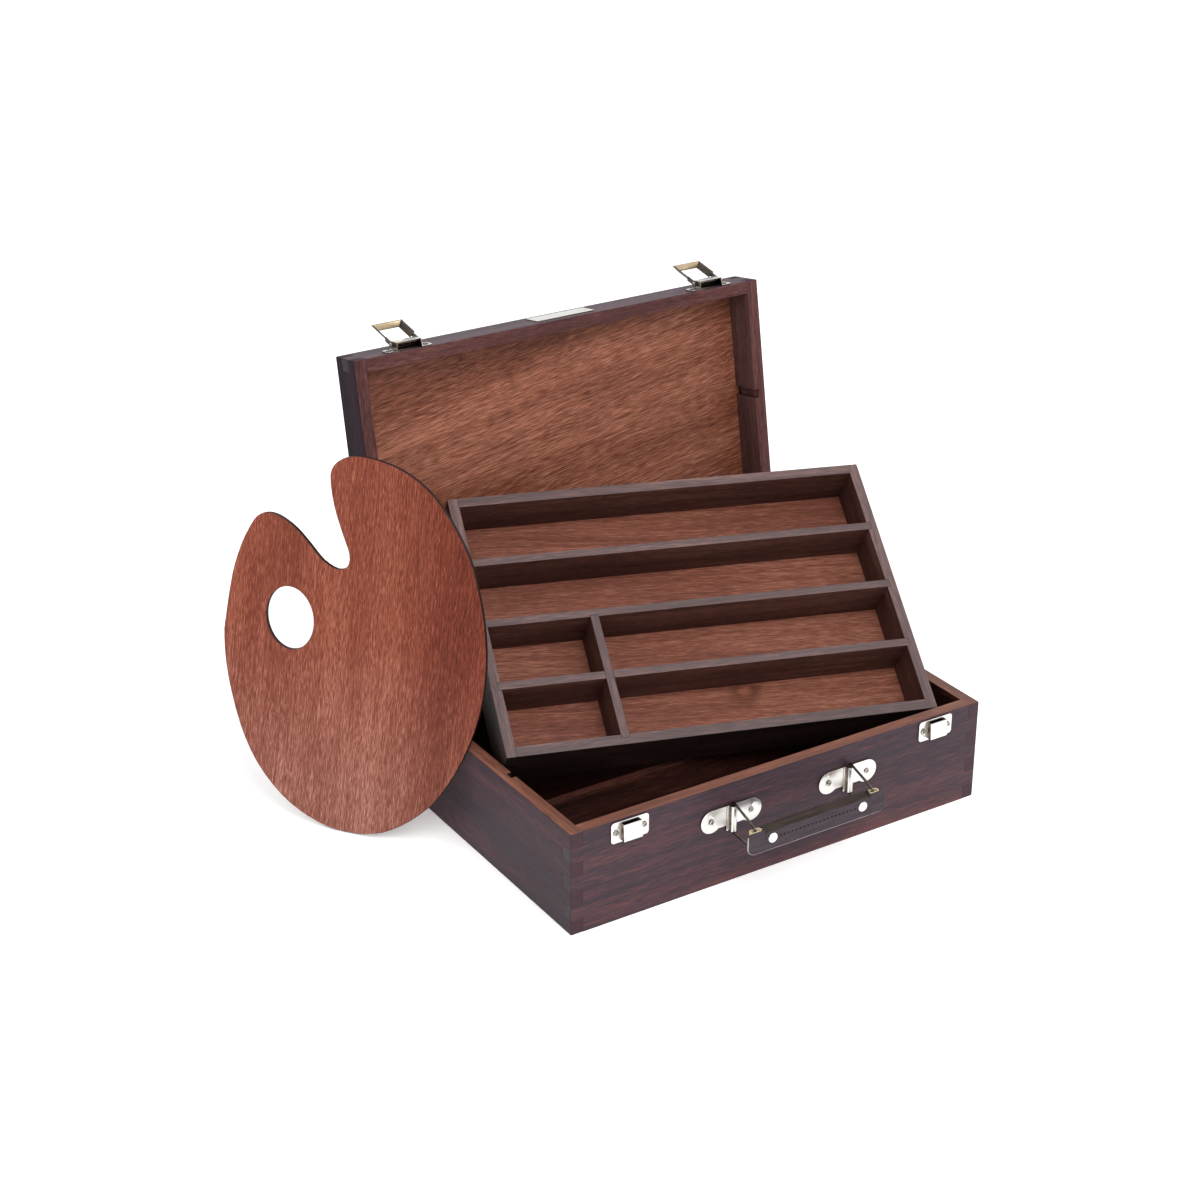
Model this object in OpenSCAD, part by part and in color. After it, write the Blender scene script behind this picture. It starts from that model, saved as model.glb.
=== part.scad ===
// Wooden brush and paint box with a hinged lid, a lift-out tray and a loose palette.
// X runs along the front, the front faces -Y, Z is up and the origin is under the middle of the base.
// The lid is drawn closed and then turned open; its pieces are given in their closed places.

/* [Box] */
// Width of the box along its front
box_w = 400; // [398:0.5:404]
// Depth of the box from front to back
box_d = 277.4; // [277:0.1:280]
// Height of the base
base_h = 90; // [88:1:94]
// Height of the lid
lid_h = 34; // [32:1:40]
// Thickness of the walls
wall = 11; // [10.5:0.5:11]
// Thickness of the bottom board
bottom_t = 5; // [4:0.5:6]
// Thickness of the lid's panel
panel_t = 4; // [3:0.5:5]
// Finger rows in a corner of the base
base_rows = 7; // [5:2:9]
// Finger rows in a corner of the lid
lid_rows = 3; // [3:2:5]
// How far the lid stands open
lid_open = 100; // [98:1:102]

/* [Inside of the base] */
// Place of the divider and its slot from the middle
slot_y = -36.4; // [-40:0.1:-30]
// Width of the slot
slot_w = 7.6; // [7:0.1:9]
// Depth of the slot in the side walls
slot_deep = 4.5; // [3:0.5:5]
// Thickness of the base divider
divider_t = 7.2; // [6:0.1:7.2]
// Height of the base divider's top edge
divider_top = 55; // [40:1:55]

/* [Fittings] */
// How far right of the middle the latches sit
latch_shift = 3; // [-5:0.5:5]
// Half of the distance between the two latches
latch_half = 150; // [120:1:155]
// How far right of the middle the handle and name plate sit
handle_shift = 5.5; // [-8:0.5:8]
// Half of the distance between the two handle plates
handle_half = 57.5; // [50:0.5:65]
// Height of the handle plates' middle
handle_z = 60.5; // [50:0.5:60.5]
// Reach of the handle's wire rings
ring_reach = 34; // [30:1:38]
// Turn of the rings at rest
ring_turn = -5; // [-20:1:20]
// Place of the hinges from the middle
hinge_x = 125; // [90:1:150]

/* [Tray] */
// Width of the tray
tray_w = 370; // [366:1:370]
// Depth of the tray
tray_d = 246; // [242:1:246]
// Height of the tray
tray_h = 41; // [38:0.5:41]
// Thickness of the tray's walls
tray_wall = 9; // [8:0.5:10]
// Thickness of the tray's floor
tray_floor = 3; // [3:0.5:4]
// Spacing of the long dividers
tray_row = 58.5; // [50:0.5:60]
// Place of the short divider from the middle
cross_x = -85; // [-120:1:120]

/* [Palette] */
// Thickness of the palette
palette_t = 4; // [3:0.5:4]
// Lean of the palette from upright
palette_lean = 8.8; // [7:0.1:8.8]

/* [Hidden] */

$fn = 48;
wood = [0.30, 0.17, 0.15];
ply = [0.45, 0.25, 0.17];
nickel = [0.85, 0.85, 0.84];
brass = [0.62, 0.52, 0.33];
leather = [0.17, 0.12, 0.14];

// Half of the gap between base and lid, and how far cuts run past a surface
seam = 0.1;
past = 1;
front_y = -box_d / 2;
base_top = base_h - seam;
lid_bottom = base_h + seam;
lid_top = base_h + lid_h;
// Width of the ledge that carries the bottom board and the lid's panel
ledge = 5;

// Butt hinges: the pin's line lies behind the back wall, level with the seam
hinge_y = box_d / 2 + 3;
hinge_l = 50;
leaf_t = 1.2;
leaf_in = 9;
knuckles = 5;
knuckle_r = 2.7;
knuckle_gap = 0.2;
knuckle_neck = 2.6;
hinge_screw_x = [-17, 0, 17];
hinge_screw_y = box_d / 2 - 4.3;
hinge_bore_r = 1.35;
hinge_pin_r = 1.3;
hinge_pin_past = 0.6;

// Screws, their pilot holes and the holes in sheet metal
shank_r = 1.2;
shank_l = 8;
pilot_r = 1.25;
sheet_hole_r = 1.4;
head_r = 2.3;
head_h = 1.1;
head_top_r = 1.4;
sink_r = 2.5;
sink_h = 0.9;
cross_l = 2.4;
cross_w = 0.6;
cross_h = 1;
thread_slack = 0.05;

// Catches on the base: a plate with a hollow block that the bail drops round
catch_w = 34.4;
catch_h = 18.3;
catch_z = 79.2;
catch_screw_x = 13;
block_w = 17;
block_bottom = 72.2;
block_top = 86.5;
sheet = 1;

// Latches on the lid: a plate with two ears, a bridge and a swinging strip bail
latch_w = 42;
latch_h = 13;
latch_z = 98;
latch_screw_x = 17;
bridge_w = 23;
bridge_out = 7.4;
bridge_h = 11;
bridge_lift = 1.5;
notch_w = 18;
notch_h = 7;
mouth_h = 3.5;
pin_head_r = 1.9;
pivot_z = 100.5;
pivot_out = 4.9;
pin_r = 1.2;
bail_w = 25.6;
bail_half = 2.5;
bail_rest = 160;
// The bail's band leans outwards: half widths and reach at its narrow and its wide edge
band_low = -2.5;
band_high = 2.1;
band_half_low = 10.3;
band_half_high = 14.4;
band_reach_low = 30.2;
band_reach_high = 33.5;
band_t = 1.2;
band_start = 10;

// Bare name plate on the lid, held by two pins
name_w = 57;
name_h = 20;
name_t = 0.8;
name_z = 107;
name_pin_x = 25.5;
name_pin_r = 0.9;
name_pin_l = 5;
name_cap_r = 1.6;

// Handle: plates with a ridge, wire rings, a sprung core with curled ends and a leather grip
plate_t = 1.2;
lobe_r = 10;
lobe_x = 19;
waist_low = 7.5;
ridge_r = 3.2;
ridge_low = 12;
ridge_high = 10.5;
ridge_foot = 4.9;
ridge_foot_t = 1.9;
wire_r = 1.1;
wire_bore_r = 1.2;
ring_half = 13.6;
ring_out_half = 9.4;
ring_drop = 2.5;
curl_r = 2.7;
curl_bore_r = 1.9;
curl_stretch = 2.6;
curl_half = 8.2;
core_half = 8;
core_t = 1.5;
core_slack = 0.1;
grip_half = 67.5;
grip_fold_half = 47;
grip_out = 4.8;
grip_flap = 1.8;
grip_low = 10.5;
grip_high = 8.5;
rivet_x = 44;
rivet_r = 4.3;
rivet_h = 0.9;
handle_x = handle_shift + ring_reach * sin(ring_turn);
handle_y = front_y - ridge_r - ring_reach * cos(ring_turn);
grip_z = handle_z - ring_drop;

// Where the tray leans: middle of its top edge plane and its turns about X, Y and Z
tray_at = [18.5, 22.1, 162.4];
tray_turn = [34.1, 1.8, -15.6];
tray_rows = 3;
tray_slot = 3;
tray_divider_t = 7;
tray_slack = 0.1;
tray_in_h = tray_h - tray_floor;

// Where the palette stands: its lowest point on the ground and the way its face is turned
palette_at = [-268.3, 79.4, 0.4];
palette_turn = -54;
// Outline of the palette in its own plane, from the foot up its right side and round
palette_outline = [
    [-23, 0], [5, 1.5], [27, 9.5], [51, 27], [70, 49], [88, 82.5], [101, 122.5], [105, 162],
    [102, 198], [96, 224], [87, 251], [68, 281], [48.5, 301], [26.5, 313], [3, 318.5],
    [-16, 318.5], [-30, 312], [-36, 300], [-32, 276], [-24, 254], [-17.5, 238], [-19, 227.5],
    [-28, 224], [-41, 229.5], [-53.5, 241.5], [-66, 252.5], [-80, 260], [-91, 261.5],
    [-101, 257], [-109, 244.5], [-116, 229], [-123, 205], [-128.5, 169], [-130, 150],
    [-126, 117], [-114, 76], [-97.5, 45], [-74.5, 21], [-49, 6.5]
];
outline_steps = 3;
thumb_at = [-69.5, 176];
thumb_r = [21.5, 26.5];
thumb_turn = 4;

// Point at share t between b and c on the smooth curve through a, b, c and d
function curve_point(a, b, c, d, t) =
    0.5 * (2 * b + (c - a) * t + (2 * a - 5 * b + 4 * c - d) * t * t
        + (3 * b - a - 3 * c + d) * t * t * t);

function smooth_loop(points, steps) = [
    for (i = [0 : len(points) - 1])
        for (k = [0 : steps - 1])
            curve_point(
                points[(i + len(points) - 1) % len(points)],
                points[i],
                points[(i + 1) % len(points)],
                points[(i + 2) % len(points)],
                k / steps)
];

function ellipse_loop(radii, count) = [
    for (i = [0 : count - 1])
        [radii[0] * cos(i * 360 / count), radii[1] * sin(i * 360 / count)]
];

// Places the lid's pieces, drawn closed, in their open place
module on_lid() {
    translate([0, hinge_y, base_h])
        rotate([-lid_open, 0, 0])
            translate([0, -hinge_y, -base_h])
                children();
}

module on_tray() {
    translate(tray_at)
        rotate(tray_turn)
            children();
}

// Stands a flat outline upright against a front face, thick towards the viewer
module stand(thick) {
    rotate([90, 0, 0])
        linear_extrude(thick)
            children();
}

module rounded(w, h, r) {
    square([w - 2 * r, h], center = true);
    square([w, h - 2 * r], center = true);
    for (x = [-1, 1])
        for (y = [-1, 1])
            translate([x * (w / 2 - r), y * (h / 2 - r)])
                circle(r);
}

// A cylinder along X from the middle out to both sides
module bar_x(r, l) {
    rotate([0, 90, 0])
        cylinder(r = r, h = l, center = true);
}

// Cuts the finger rows from both ends of a board that lies along X, row 0 lowest
module row_cuts(length, thick, z0, height, rows, first) {
    row_h = height / rows;
    for (row = [first : 2 : rows - 1]) {
        low = row == 0 ? past : 0;
        high = row == rows - 1 ? past : 0;
        for (side = [-1, 1])
            translate([side * (length + past) / 2 - side * thick / 2, 0,
                z0 + row * row_h - low + (row_h + low + high) / 2])
                cube([thick + past, 4 * thick, row_h + low + high], center = true);
    }
}

// Board along the front; the side boards' fingers are cut from its ends
module long_board(w, d, thick, z0, height, rows) {
    translate([0, -d / 2 + thick / 2, 0])
        difference() {
            translate([0, 0, z0 + height / 2])
                cube([w, thick, height], center = true);
            row_cuts(w, thick, z0, height, rows, 0);
        }
}

// Board along the left side; the long boards' fingers are cut from its ends
module side_board(w, d, thick, z0, height, rows) {
    translate([-w / 2 + thick / 2, 0, 0])
        rotate([0, 0, 90])
            difference() {
                translate([0, 0, z0 + height / 2])
                    cube([d, thick, height], center = true);
                row_cuts(d, thick, z0, height, rows, 1);
            }
}

// Space of a sheet that sits on a ledge all round, from z0 to z1
module ledge_space(w, d, thick, z0, z1) {
    translate([0, 0, (z0 + z1) / 2])
        cube([w - 2 * (thick - ledge), d - 2 * (thick - ledge), z1 - z0], center = true);
}

// Slot for the divider in the left wall
module wall_slot(z0, z1) {
    translate([-box_w / 2 + wall - slot_deep, slot_y - slot_w / 2, z0])
        cube([slot_deep + past, slot_w, z1 - z0]);
}

// Screw with a domed head and a cross recess, its head's seat at z = 0 and its shank down
module screw() {
    difference() {
        union() {
            cylinder(r = head_r, h = head_h / 2);
            translate([0, 0, head_h / 2])
                cylinder(r1 = head_r, r2 = head_top_r, h = head_h / 2);
            translate([0, 0, -shank_l])
                cylinder(r = shank_r, h = shank_l + 0.2);
        }
        for (turn = [0, 90])
            rotate([0, 0, turn])
                translate([0, 0, head_h])
                    cube([cross_l, cross_w, cross_h], center = true);
    }
}

// Flat screw, its top at z = 0
module flat_screw() {
    difference() {
        union() {
            translate([0, 0, -sink_h])
                cylinder(r1 = shank_r, r2 = head_r, h = sink_h);
            translate([0, 0, -shank_l])
                cylinder(r = shank_r, h = shank_l - sink_h / 2);
        }
        for (turn = [20, 110])
            rotate([0, 0, turn])
                cube([cross_l, cross_w, cross_h], center = true);
    }
}

// Moves to each screw on the box's front, with the screw's head towards the viewer
module at_catch_screws() {
    for (side = [-1, 1])
        for (x = [-1, 1])
            translate([latch_shift + side * latch_half + x * catch_screw_x, front_y, catch_z])
                rotate([90, 0, 0])
                    children();
}

module at_latch_screws() {
    for (side = [-1, 1])
        for (x = [-1, 1])
            translate([latch_shift + side * latch_half + x * latch_screw_x, front_y, latch_z])
                rotate([90, 0, 0])
                    children();
}

module at_handle_screws() {
    for (side = [-1, 1])
        for (x = [-1, 1])
            translate([handle_shift + side * handle_half + x * lobe_x, front_y, handle_z])
                rotate([90, 0, 0])
                    children();
}

module at_plate_pins() {
    for (x = [-1, 1])
        translate([handle_shift + x * name_pin_x, front_y, name_z])
            rotate([90, 0, 0])
                children();
}

// Moves to each hinge screw, up is the way out of the wood
module at_hinge_screws() {
    for (side = [-1, 1])
        for (x = hinge_screw_x)
            translate([side * hinge_x + x, hinge_screw_y, 0])
                children();
}

module pilots() {
    translate([0, 0, -shank_l - 0.2])
        cylinder(r = pilot_r, h = shank_l + 0.2 + past);
}

// Pocket for both hinge leaves, leaf_t deep from the seam in the direction dir
module hinge_pockets(z, dir) {
    for (side = [-1, 1])
        translate([side * hinge_x, box_d / 2 - leaf_in / 2 + past / 2, z + dir * (leaf_t - past) / 2])
            cube([hinge_l, leaf_in + past, leaf_t + past], center = true);
}

module base_front() {
    color(wood)
        difference() {
            long_board(box_w, box_d, wall, 0, base_top, base_rows);
            ledge_space(box_w, box_d, wall, -past, bottom_t);
            at_catch_screws()
                pilots();
            at_handle_screws()
                pilots();
        }
}

module base_back() {
    color(wood)
        difference() {
            mirror([0, 1, 0])
                long_board(box_w, box_d, wall, 0, base_top, base_rows);
            ledge_space(box_w, box_d, wall, -past, bottom_t);
            hinge_pockets(base_top, -1);
            translate([0, 0, base_top - leaf_t])
                at_hinge_screws()
                    pilots();
        }
}

module base_left() {
    color(wood)
        difference() {
            side_board(box_w, box_d, wall, 0, base_top, base_rows);
            ledge_space(box_w, box_d, wall, -past, bottom_t);
            wall_slot(bottom_t, base_h + past);
        }
}

module base_right() {
    mirror([1, 0, 0])
        base_left();
}

module base_bottom() {
    color(ply)
        ledge_space(box_w, box_d, wall, 0, bottom_t);
}

module base_divider() {
    color(wood)
        translate([0, slot_y, (bottom_t + divider_top) / 2])
            cube([box_w - 2 * wall + 2 * slot_deep - 2 * seam, divider_t, divider_top - bottom_t],
                center = true);
}

// Catch at the origin of the front face: flat plate and a block that is open at its top
module catch() {
    color(nickel)
        difference() {
            union() {
                translate([0, 0, catch_z])
                    stand(sheet)
                        rounded(catch_w, catch_h, 3);
                rotate([90, 0, 90])
                    translate([0, 0, -block_w / 2])
                        linear_extrude(block_w)
                            polygon([[0, block_bottom], [-6, block_bottom], [-5, block_top],
                                [0, block_top]]);
            }
            rotate([90, 0, 90])
                translate([0, 0, -block_w / 2 + sheet])
                    linear_extrude(block_w - 2 * sheet)
                        polygon([[-sheet, block_bottom + sheet], [-6 + sheet, block_bottom + sheet],
                            [-5 + sheet, block_top + past], [-sheet, block_top + past]]);
            for (x = [-1, 1])
                translate([x * catch_screw_x, past, catch_z])
                    stand(4 * past)
                        circle(sheet_hole_r);
        }
}

module catch_left() {
    translate([latch_shift - latch_half, front_y, 0])
        catch();
}

module catch_right() {
    translate([latch_shift + latch_half, front_y, 0])
        catch();
}

module catch_screws() {
    color(nickel)
        at_catch_screws()
            translate([0, 0, sheet])
                screw();
}

// Section of the ridge: round in front of the wire, with a pressed step at each foot
module ridge_section() {
    translate([-ridge_r, -ridge_r])
        square([2 * ridge_r, ridge_r]);
    translate([0, -ridge_r])
        circle(ridge_r);
    translate([-ridge_foot, -ridge_foot_t])
        square([2 * ridge_foot, ridge_foot_t]);
}

// Handle plate at the origin: two round lobes, a waist and a ridge that holds the wire
module handle_plate() {
    color(nickel)
        difference() {
            union() {
                stand(plate_t) {
                    translate([-lobe_x, -waist_low])
                        square([2 * lobe_x, waist_low + lobe_r]);
                    for (x = [-1, 1])
                        translate([x * lobe_x, 0])
                            circle(lobe_r);
                }
                translate([0, 0, -ridge_low])
                    linear_extrude(ridge_low + ridge_high)
                        ridge_section();
            }
            translate([0, -ridge_r, -ridge_low - past])
                cylinder(r = wire_bore_r, h = ridge_low + ridge_high + 2 * past);
            for (x = [-1, 1])
                translate([x * lobe_x, past, 0])
                    stand(4 * past)
                        circle(sheet_hole_r);
        }
}

module handle_plate_left() {
    translate([handle_shift - handle_half, front_y, handle_z])
        handle_plate();
}

module handle_plate_right() {
    translate([handle_shift + handle_half, front_y, handle_z])
        handle_plate();
}

module handle_plate_screws() {
    color(nickel)
        at_handle_screws()
            translate([0, 0, plate_t])
                screw();
}

// Round wire from a to b, both in the YZ plane, with round ends
module wire(a, b) {
    d = b - a;
    translate([0, a[0], a[1]])
        rotate([atan2(-d[0], d[1]), 0, 0])
            cylinder(r = wire_r, h = norm(d));
    for (p = [a, b])
        translate([0, p[0], p[1]])
            sphere(wire_r + thread_slack);
}

// Closed loop of wire: its inner leg lies in a plate's ridge, its outer leg in a curl
module ring() {
    corners = [
        [0, ring_half],
        [0, -ring_half],
        [-ring_reach, -ring_drop - ring_out_half],
        [-ring_reach, -ring_drop + ring_out_half]
    ];
    color(nickel)
        for (i = [0 : 3])
            wire(corners[i], corners[(i + 1) % 4]);
}

module handle_ring_left() {
    translate([handle_shift - handle_half, front_y - ridge_r, handle_z])
        rotate([0, 0, ring_turn])
            ring();
}

module handle_ring_right() {
    translate([handle_shift + handle_half, front_y - ridge_r, handle_z])
        rotate([0, 0, ring_turn])
            ring();
}

// Two half circles joined by straight sides, reach to each side of the middle
module long_round(reach, r) {
    square([2 * reach, 2 * r], center = true);
    for (x = [-reach, reach])
        translate([x, 0])
            circle(r);
}

// Flat spring inside the grip, its two ends bent into long loops round the rings' outer legs
module handle_core() {
    color(brass)
        translate([handle_x, handle_y, grip_z]) {
            difference() {
                cube([2 * (handle_half - curl_stretch - curl_bore_r - core_slack), core_t,
                    2 * core_half], center = true);
                for (x = [-1, 1])
                    translate([x * rivet_x, 0, 0])
                        rotate([90, 0, 0])
                            cylinder(r = pilot_r, h = 2 * core_t, center = true);
            }
            for (x = [-1, 1])
                translate([x * handle_half, 0, -curl_half])
                    linear_extrude(2 * curl_half)
                        difference() {
                            long_round(curl_stretch, curl_r);
                            long_round(curl_stretch, curl_bore_r);
                        }
        }
}

// Leather folded over the core, with a longer flap in front
module handle_grip() {
    fold_z = grip_high + 1.5 - grip_out;
    color(leather)
        translate([handle_x, handle_y, grip_z])
            difference() {
                union() {
                    translate([0, 0, (fold_z - grip_low) / 2])
                        cube([2 * grip_fold_half, 2 * grip_out, fold_z + grip_low], center = true);
                    translate([0, 0, fold_z])
                        bar_x(grip_out, 2 * grip_fold_half);
                    translate([-grip_half, -grip_out, -grip_low])
                        cube([2 * grip_half, grip_flap, grip_low + grip_high]);
                }
                cube([2 * handle_half, core_t + core_slack, 2 * core_half + core_slack], center = true);
                for (x = [-1, 1])
                    translate([x * rivet_x, 0, 0])
                        rotate([90, 0, 0])
                            cylinder(r = pilot_r, h = 3 * grip_out, center = true);
            }
}

// Flat rivets through the leather and the core, with a cap on both sides
module handle_rivets() {
    color(nickel)
        translate([handle_x, handle_y, grip_z])
            for (x = [-1, 1])
                translate([x * rivet_x, 0, 0])
                    rotate([90, 0, 0]) {
                        cylinder(r = shank_r, h = 2 * grip_out + rivet_h, center = true);
                        for (side = [0, 180])
                            rotate([side, 0, 0])
                                translate([0, 0, grip_out]) {
                                    cylinder(r = rivet_r, h = rivet_h / 2);
                                    translate([0, 0, rivet_h / 2])
                                        cylinder(r1 = rivet_r, r2 = rivet_r - rivet_h / 2, h = rivet_h / 2);
                                }
                    }
}

// Both hinges' leaves on one side of the seam; knuckles with an even number belong to the base
module hinge_leaves(z, dir, first) {
    knuckle_l = hinge_l / knuckles;
    for (side = [-1, 1])
        translate([side * hinge_x, 0, 0])
            difference() {
                union() {
                    translate([0, box_d / 2 - leaf_in / 2, z + dir * leaf_t / 2])
                        cube([hinge_l, leaf_in, leaf_t], center = true);
                    for (k = [first : 2 : knuckles - 1])
                        translate([(k + 0.5) * knuckle_l - hinge_l / 2, 0, 0]) {
                            translate([0, box_d / 2, z + dir * leaf_t / 2])
                                cube([knuckle_l - knuckle_gap, knuckle_neck, leaf_t], center = true);
                            translate([0, hinge_y, base_h])
                                bar_x(knuckle_r, knuckle_l - knuckle_gap);
                        }
                }
                translate([0, hinge_y, base_h])
                    bar_x(hinge_bore_r, hinge_l + 2 * past);
                for (x = hinge_screw_x)
                    translate([x, hinge_screw_y, z])
                        rotate([dir > 0 ? 180 : 0, 0, 0])
                            translate([0, 0, -sink_h])
                                sink();
            }
}

// Countersink and clearance hole for a flat screw, wide end up
module sink() {
    cylinder(r1 = sheet_hole_r, r2 = sink_r, h = sink_h);
    translate([0, 0, sink_h])
        cylinder(r = sink_r, h = past);
    translate([0, 0, -2 * leaf_t])
        cylinder(r = sheet_hole_r, h = 2 * leaf_t + 0.1);
}

module hinge_leaves_base() {
    color(nickel)
        hinge_leaves(base_top, -1, 0);
}

module hinge_leaves_lid() {
    color(nickel)
        on_lid()
            hinge_leaves(lid_bottom, 1, 1);
}

module hinge_pins() {
    color(nickel)
        for (side = [-1, 1])
            translate([side * hinge_x, hinge_y, base_h])
                bar_x(hinge_pin_r, hinge_l + hinge_pin_past);
}

module hinge_screws_base() {
    color(nickel)
        translate([0, 0, base_top - 0.05])
            at_hinge_screws()
                flat_screw();
}

module hinge_screws_lid() {
    color(nickel)
        on_lid()
            translate([0, 0, lid_bottom + 0.05])
                at_hinge_screws()
                    rotate([180, 0, 0])
                        flat_screw();
}

module lid_front() {
    color(wood)
        on_lid()
            difference() {
                long_board(box_w, box_d, wall, lid_bottom, lid_h - seam, lid_rows);
                ledge_space(box_w, box_d, wall, lid_top - panel_t, lid_top + past);
                at_latch_screws()
                    pilots();
                at_plate_pins()
                    translate([0, 0, -name_pin_l])
                        cylinder(r = name_pin_r + thread_slack, h = name_pin_l + past);
            }
}

module lid_back() {
    color(wood)
        on_lid()
            difference() {
                mirror([0, 1, 0])
                    long_board(box_w, box_d, wall, lid_bottom, lid_h - seam, lid_rows);
                ledge_space(box_w, box_d, wall, lid_top - panel_t, lid_top + past);
                hinge_pockets(lid_bottom, 1);
                translate([0, 0, lid_bottom + leaf_t])
                    at_hinge_screws()
                        rotate([180, 0, 0])
                            pilots();
            }
}

// Left wall of the closed lid, with the divider's slot carried on into it
module lid_side() {
    difference() {
        side_board(box_w, box_d, wall, lid_bottom, lid_h - seam, lid_rows);
        ledge_space(box_w, box_d, wall, lid_top - panel_t, lid_top + past);
        wall_slot(base_h - past, lid_top - panel_t);
    }
}

module lid_left() {
    color(wood)
        on_lid()
            lid_side();
}

module lid_right() {
    color(wood)
        on_lid()
            mirror([1, 0, 0])
                lid_side();
}

module lid_panel() {
    color(ply)
        on_lid()
            ledge_space(box_w, box_d, wall, lid_top - panel_t, lid_top);
}

module name_plate() {
    color(nickel)
        on_lid()
            difference() {
                translate([handle_shift, front_y, name_z])
                    stand(name_t)
                        rounded(name_w, name_h, 0.8);
                translate([0, -past, 0])
                    at_plate_pins()
                        cylinder(r = name_pin_r + thread_slack, h = 3 * past, center = true);
            }
}

module name_plate_pins() {
    color(nickel)
        on_lid()
            at_plate_pins() {
                translate([0, 0, -name_pin_l])
                    cylinder(r = name_pin_r, h = name_pin_l + name_t);
                translate([0, 0, name_t])
                    cylinder(r1 = name_cap_r, r2 = name_cap_r / 2, h = name_t);
            }
}

// Latch at the origin of the front face: plate with two ears and a bridge open at the rim
module latch() {
    difference() {
        union() {
            translate([0, 0, latch_z])
                stand(sheet)
                    difference() {
                        rounded(latch_w, latch_h, 3);
                        translate([0, -latch_h / 2])
                            square([notch_w, notch_h], center = true);
                    }
            translate([-bridge_w / 2, -bridge_out, latch_z - latch_h / 2 + bridge_lift])
                cube([bridge_w, bridge_out, bridge_h]);
        }
        translate([-bridge_w / 2 + sheet, -bridge_out + sheet, latch_z - latch_h / 2])
            cube([bridge_w - 2 * sheet, bridge_out - 2 * sheet, bridge_h]);
        translate([-bridge_w / 2 + sheet, -bridge_out + sheet, latch_z - latch_h / 2])
            cube([bridge_w - 2 * sheet, bridge_out, mouth_h]);
        translate([0, -pivot_out, pivot_z])
            bar_x(pilot_r, bridge_w + 2 * past);
        for (x = [-1, 1])
            translate([x * latch_screw_x, past, latch_z])
                stand(4 * past)
                    circle(sheet_hole_r);
    }
}

module latch_left() {
    color(nickel)
        on_lid()
            translate([latch_shift - latch_half, front_y, 0])
                latch();
}

module latch_right() {
    color(nickel)
        on_lid()
            translate([latch_shift + latch_half, front_y, 0])
                latch();
}

module latch_screws() {
    color(nickel)
        on_lid()
            at_latch_screws()
                translate([0, 0, sheet])
                    screw();
}

// Headed pins that the two bails swing on
module latch_pins() {
    head_l = 0.8;
    half = bail_w / 2 + 0.3;
    color(nickel)
        on_lid()
            for (side = [-1, 1])
                translate([latch_shift + side * latch_half, front_y - pivot_out, pivot_z]) {
                    bar_x(pin_r, 2 * half + head_l);
                    for (x = [-1, 1])
                        translate([x * (half + head_l / 2), 0, 0])
                            bar_x(pin_head_r, head_l);
                }
}

// Space inside the bail's four leaning sides, drawn in by inset
module band_space(inset) {
    intersection() {
        translate([0, 0, -2 * band_reach_high])
            linear_extrude(2 * band_reach_high - band_start)
                polygon([
                    [-band_half_low + inset, band_low - inset], [band_half_low - inset, band_low - inset],
                    [band_half_high - inset, band_high + inset], [-band_half_high + inset, band_high + inset]
                ]);
        rotate([90, 0, 90])
            translate([0, 0, -bail_w])
                linear_extrude(2 * bail_w)
                    polygon([
                        [band_low - inset, past - band_start], [band_high + inset, past - band_start],
                        [band_high + inset, -band_reach_high + inset],
                        [band_low - inset, -band_reach_low + inset]
                    ]);
    }
}

// Strip bail about its pivot, turned from its hooked place to where it leans back
module bail(x) {
    color(nickel)
        on_lid()
            translate([x, front_y - pivot_out, pivot_z])
                rotate([-bail_rest, 0, 0]) {
                    difference() {
                        band_space(0);
                        translate([0, 0, past])
                            band_space(band_t);
                        band_space(band_t);
                    }
                    for (side = [-1, 1])
                        difference() {
                            union() {
                                translate([side * (bail_w - sheet) / 2, 0, -band_start / 2 - past / 2])
                                    cube([sheet, 2 * bail_half - past, band_start + past], center = true);
                                translate([side * (bail_w - sheet) / 2, 0, 0])
                                    bar_x(bail_half, sheet);
                            }
                            translate([side * (bail_w - sheet) / 2, 0, 0])
                                bar_x(pilot_r, sheet + past);
                        }
                }
}

module bail_left() {
    bail(latch_shift - latch_half);
}

module bail_right() {
    bail(latch_shift + latch_half);
}

// Slots in the tray's side walls for the ends of the long dividers
module tray_slots() {
    for (side = [-1, 1])
        for (row = [-1 : 1])
            translate([side * (tray_w / 2 - tray_wall), row * tray_row, -tray_h / 2 + tray_floor])
                cube([2 * tray_slot, tray_divider_t + 2 * tray_slack, tray_h + 2 * tray_floor],
                    center = true);
}

// Slot in the tray's front wall for the short divider
module tray_front_slot() {
    translate([cross_x, -tray_d / 2 + tray_wall, -tray_h / 2 + tray_floor])
        cube([tray_divider_t + 2 * tray_slack, 2 * tray_slot, tray_h + 2 * tray_floor],
            center = true);
}

module tray_front() {
    color(wood)
        on_tray()
            difference() {
                long_board(tray_w, tray_d, tray_wall, -tray_h, tray_h, tray_rows);
                ledge_space(tray_w, tray_d, tray_wall, -tray_h - past, -tray_h + tray_floor);
                tray_front_slot();
            }
}

module tray_back() {
    color(wood)
        on_tray()
            difference() {
                mirror([0, 1, 0])
                    long_board(tray_w, tray_d, tray_wall, -tray_h, tray_h, tray_rows);
                ledge_space(tray_w, tray_d, tray_wall, -tray_h - past, -tray_h + tray_floor);
            }
}

module tray_side() {
    difference() {
        side_board(tray_w, tray_d, tray_wall, -tray_h, tray_h, tray_rows);
        ledge_space(tray_w, tray_d, tray_wall, -tray_h - past, -tray_h + tray_floor);
        tray_slots();
    }
}

module tray_left() {
    color(wood)
        on_tray()
            tray_side();
}

module tray_right() {
    color(wood)
        on_tray()
            mirror([1, 0, 0])
                tray_side();
}

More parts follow.
